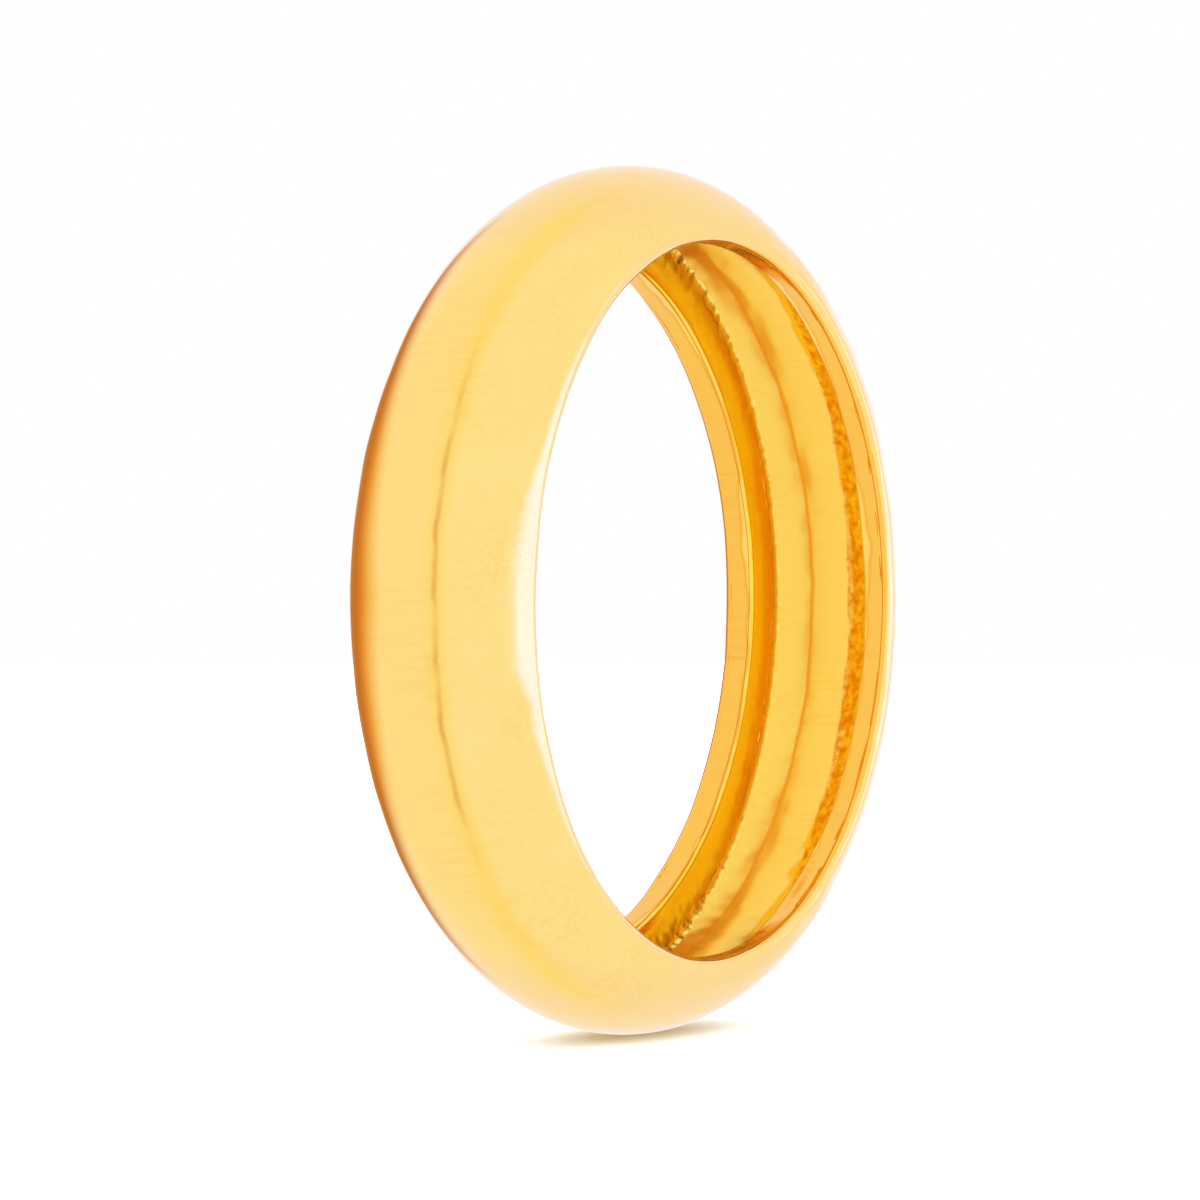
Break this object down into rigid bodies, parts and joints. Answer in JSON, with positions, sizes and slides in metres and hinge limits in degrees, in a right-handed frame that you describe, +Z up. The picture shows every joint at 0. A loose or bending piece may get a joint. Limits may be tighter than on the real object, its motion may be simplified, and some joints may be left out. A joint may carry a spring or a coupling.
{
  "type": "wedding band",
  "caption": "Plain gold wedding band with a half-round domed outside and a hollow channel inside between flat edge strips.",
  "frame": {"origin": "centre of the finger hole, halfway between the two sides of the band", "axes": "Y along the ring axis, front side towards -Y; +Z up with the band standing upright"},
  "size_m": [0.0218, 0.005, 0.0218],
  "materials": {
    "gold": "polished",
    "gold_solder": "satin"
  },
  "bodies": {
    "root": {"dome_shell": "gold", "front_rim": "gold", "back_rim": "gold", "front_solder_fillet": "gold_solder", "back_solder_fillet": "gold_solder", "shell_solder_seam": "gold_solder", "front_rim_solder_seam": "gold_solder", "back_rim_solder_seam": "gold_solder"}
  },
  "joints": []
}
